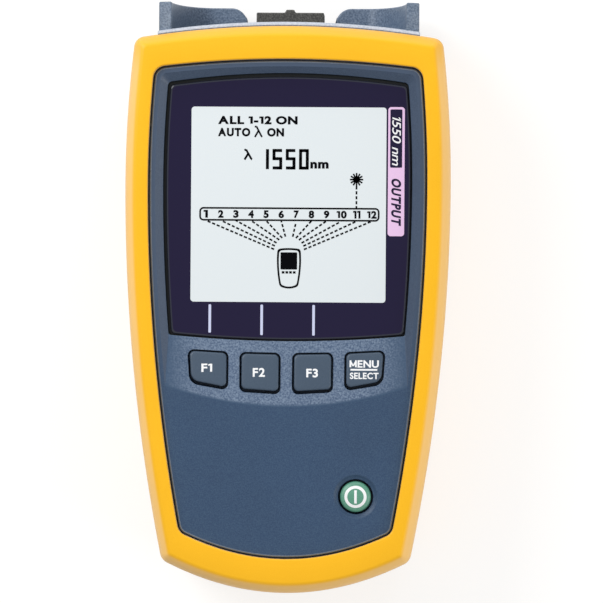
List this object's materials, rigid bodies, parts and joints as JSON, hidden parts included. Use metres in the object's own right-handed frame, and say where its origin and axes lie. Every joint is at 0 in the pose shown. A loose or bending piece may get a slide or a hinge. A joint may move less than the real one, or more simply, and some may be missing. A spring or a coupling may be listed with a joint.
{
  "type": "optical light source",
  "caption": "Handheld fibre light source in a soft yellow holster, with an LCD, soft keys, a power key and a capped multi-fibre port between two guards.",
  "frame": {"origin": "middle of the bounding box, on the surface that the holster's back rests on", "axes": "+Z out of the front face, +Y towards the connector end, +X to the right seen from the front"},
  "size_m": [0.086, 0.156, 0.04],
  "materials": {
    "holster_rubber": "soft satin",
    "slate_plastic": "fine texture",
    "key_rubber": "matt",
    "power_key": "satin",
    "display_window": "gloss, printed from behind",
    "lcd": "grey reflective",
    "light_plastic": "moulded",
    "black_plastic": "moulded",
    "black_rubber": "matt",
    "board": "solder mask",
    "steel": "plated",
    "cell_jacket": "satin",
    "fibre_jacket": "moulded"
  },
  "bodies": {
    "instrument": {"holster": "holster_rubber", "front_case": "slate_plastic", "rear_case": "slate_plastic", "port_guard": "slate_plastic", "case_seal": "black_rubber", "display_lens": "display_window", "lcd_panel": "lcd", "lcd_holder": "light_plastic", "light_guide": "light_plastic", "contact_strip": "black_rubber", "keypad_mat": "black_rubber", "power_mat": "black_rubber", "main_board": "board", "processor": "black_plastic", "driver_chip": "black_plastic", "laser_module": "steel", "fibre_ribbon": "fibre_jacket", "inner_plug": "fibre_jacket", "port_adapter": "black_plastic", "adapter_clip": "steel", "battery_door": "slate_plastic", "door_screw": "steel", "battery_1": "cell_jacket", "battery_2": "cell_jacket", "battery_spring_1": "steel", "battery_spring_2": "steel", "contact_link": "steel", "contact_plus": "steel", "contact_minus": "steel", "case_screw_1": "steel", "case_screw_2": "steel", "case_screw_3": "steel", "case_screw_4": "steel", "board_screw_1": "steel", "board_screw_2": "steel", "board_screw_3": "steel", "board_screw_4": "steel"},
    "f1": {"key_f1": "key_rubber"},
    "f2": {"key_f2": "key_rubber"},
    "f3": {"key_f3": "key_rubber"},
    "menu": {"key_menu": "key_rubber"},
    "power": {"power_key": "power_key"},
    "cap": {"port_cap": "black_plastic"}
  },
  "joints": [
    {"name": "f1_press", "type": "slide", "parent": "instrument", "child": "f1", "axis": [0, 0, -1], "range_m": [0, 0.0008], "stiffness_N_per_m": 1200},
    {"name": "f2_press", "type": "slide", "parent": "instrument", "child": "f2", "axis": [0, 0, -1], "range_m": [0, 0.0008], "stiffness_N_per_m": 1200},
    {"name": "f3_press", "type": "slide", "parent": "instrument", "child": "f3", "axis": [0, 0, -1], "range_m": [0, 0.0008], "stiffness_N_per_m": 1200},
    {"name": "menu_press", "type": "slide", "parent": "instrument", "child": "menu", "axis": [0, 0, -1], "range_m": [0, 0.0008], "stiffness_N_per_m": 1200},
    {"name": "power_press", "type": "slide", "parent": "instrument", "child": "power", "axis": [0, 0, -1], "range_m": [0, 0.0008], "stiffness_N_per_m": 1200},
    {"name": "cap_pull", "type": "slide", "parent": "instrument", "child": "cap", "axis": [0, 1, 0], "range_m": [0, 0.007]}
  ]
}
